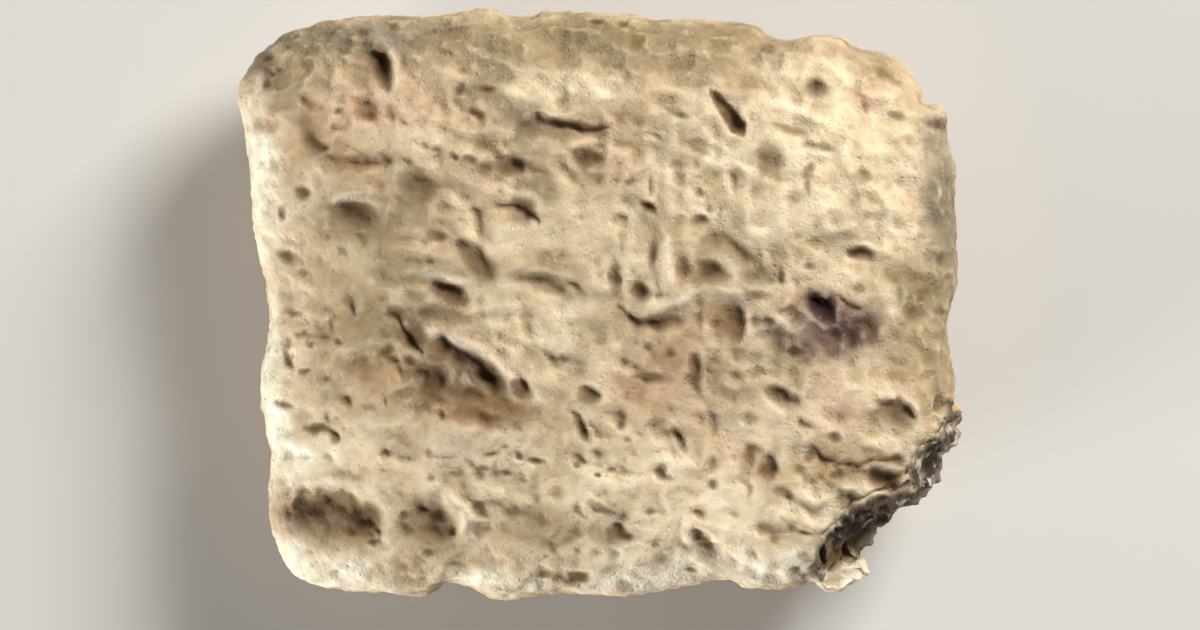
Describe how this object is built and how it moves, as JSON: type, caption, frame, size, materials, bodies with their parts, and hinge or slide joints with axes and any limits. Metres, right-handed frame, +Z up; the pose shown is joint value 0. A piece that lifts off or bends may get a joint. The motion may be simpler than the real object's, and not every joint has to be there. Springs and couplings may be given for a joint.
{
  "type": "cuneiform tablet",
  "caption": "Small pillow-shaped clay tablet, its written face worn and pitted and one corner broken off, lying on its back",
  "frame": {"origin": "middle of the tablet's box, on the surface that its back lies on", "axes": "+X to the right and +Y to the top of the written face as it is read, +Z up out of that face"},
  "size_m": [0.0484, 0.0396, 0.0164],
  "materials": {
    "clay": "matte weathered"
  },
  "bodies": {
    "root": {"tablet": "clay"}
  },
  "joints": []
}
